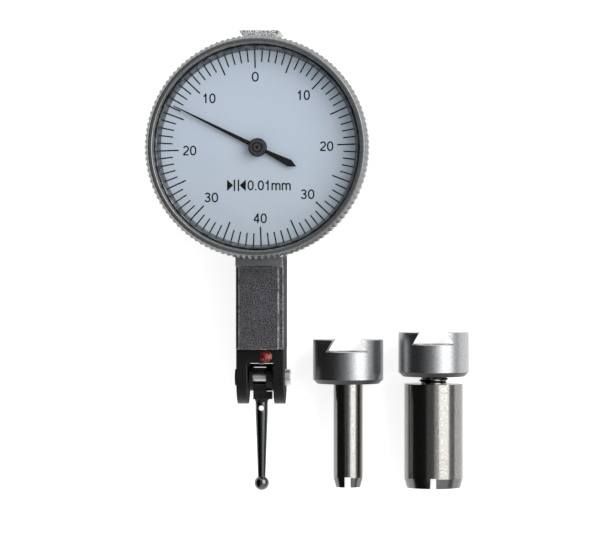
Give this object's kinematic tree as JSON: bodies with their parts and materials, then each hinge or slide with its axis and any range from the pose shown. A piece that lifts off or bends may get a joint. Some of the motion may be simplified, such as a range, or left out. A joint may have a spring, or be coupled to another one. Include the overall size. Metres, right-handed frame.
{
  "type": "dial test indicator",
  "caption": "Lever type dial test indicator on its back: knurled turning bezel, dial, hand, geared movement, swivelling ball stylus, dovetails, and loose dovetail stems.",
  "frame": {"origin": "under the dial's centre, on the outer face of the rear dovetail, on which the indicator lies", "axes": "+X to the dial's right (three o'clock), +Y along the body away from the stylus (twelve o'clock), +Z out of the dial"},
  "size_m": [0.0432, 0.0624, 0.0158],
  "materials": {
    "satin_body": "satin",
    "bezel_steel": "satin",
    "clear_crystal": "clear",
    "dial_white": "matte",
    "spring_steel": "bright",
    "black_steel": "black oxide",
    "bright_steel": "polished",
    "red_lacquer": "gloss",
    "dark_polished_steel": "polished",
    "carbide": "polished",
    "gear_brass": "machined",
    "hand_black": "satin",
    "hub_dark": "satin",
    "ruby": "polished",
    "stem_satin": "satin",
    "stem_polished": "polished"
  },
  "bodies": {
    "frame": {"body_frame": "satin_body", "bezel_spring_ring": "spring_steel", "pivot_screw_left": "black_steel", "pivot_screw_right": "bright_steel", "sealed_screw": "bright_steel", "lacquer_seal": "red_lacquer", "hairspring": "spring_steel", "hairspring_stud": "gear_brass", "movement_plate": "gear_brass", "plate_screws": "bright_steel", "bracket_screws": "bright_steel", "arbor_bracket": "gear_brass", "center_cock": "gear_brass", "side_jewels": "ruby", "center_jewels": "ruby"},
    "bezel": {"bezel": "bezel_steel", "crystal": "clear_crystal", "dial_plate": "dial_white"},
    "lever": {"lever_hub": "black_steel", "friction_pin": "bright_steel", "lever_arm": "bright_steel", "drive_pin": "bright_steel"},
    "stylus": {"stylus_holder": "black_steel", "stylus_shank": "dark_polished_steel", "contact_ball": "carbide"},
    "sector": {"sector_arbor": "bright_steel", "sector_gear": "gear_brass"},
    "crown": {"crown_arbor": "bright_steel", "intermediate_pinion": "bright_steel", "crown_gear": "gear_brass"},
    "pointer": {"center_arbor": "bright_steel", "center_pinion": "bright_steel", "hand": "hand_black", "hand_hub": "hub_dark", "hairspring_collet": "gear_brass"},
    "stem_4mm": {"stem_4mm_head": "stem_satin"},
    "stem_4mm_screw": {"stem_4mm_shaft": "stem_polished"},
    "stem_8mm": {"stem_8mm_head": "stem_satin"},
    "stem_8mm_screw": {"stem_8mm_shaft": "stem_polished"}
  },
  "joints": [
    {"name": "bezel_turn", "type": "hinge", "parent": "frame", "child": "bezel", "pos_m": [0, 0, 0.0125], "axis": [0, 0, 1], "continuous": true},
    {"name": "lever_swing", "type": "hinge", "parent": "frame", "child": "lever", "pos_m": [0, -0.03105, 0.0057], "axis": [1, 0, 0], "range_deg": [-2, 2], "stiffness_Nm_per_rad": 0.08},
    {"name": "stylus_swivel", "type": "hinge", "parent": "lever", "child": "stylus", "pos_m": [0, -0.03105, 0.0057], "axis": [1, 0, 0], "range_deg": [-105, 105]},
    {"name": "sector_swing", "type": "hinge", "parent": "frame", "child": "sector", "pos_m": [0, -0.0096, 0.0057], "axis": [1, 0, 0], "range_deg": [-8, 8]},
    {"name": "crown_spin", "type": "hinge", "parent": "frame", "child": "crown", "pos_m": [0, 0, 0.0057], "axis": [1, 0, 0], "range_deg": [-72, 72]},
    {"name": "hand_spin", "type": "hinge", "parent": "frame", "child": "pointer", "pos_m": [0, 0, 0.0125], "axis": [0, 0, 1], "range_deg": [-226.3, 226.3]},
    {"name": "stem_4mm_lift", "type": "slide", "parent": "frame", "child": "stem_4mm", "axis": [0, 0, 1], "range_m": [0, 0.03]},
    {"name": "stem_4mm_turn", "type": "hinge", "parent": "stem_4mm", "child": "stem_4mm_screw", "pos_m": [0.01175, -0.0319, 0.0048], "axis": [0, 1, 0], "continuous": true},
    {"name": "stem_8mm_lift", "type": "slide", "parent": "frame", "child": "stem_8mm", "axis": [0, 0, 1], "range_m": [0, 0.03]},
    {"name": "stem_8mm_turn", "type": "hinge", "parent": "stem_8mm", "child": "stem_8mm_screw", "pos_m": [0.0234, -0.0309, 0.0048], "axis": [0, 1, 0], "continuous": true}
  ],
  "couplings": [
    {"joint": "sector_swing", "follows": "lever_swing", "ratio": -4},
    {"joint": "crown_spin", "follows": "lever_swing", "ratio": 36},
    {"joint": "hand_spin", "follows": "lever_swing", "ratio": 113.14}
  ]
}
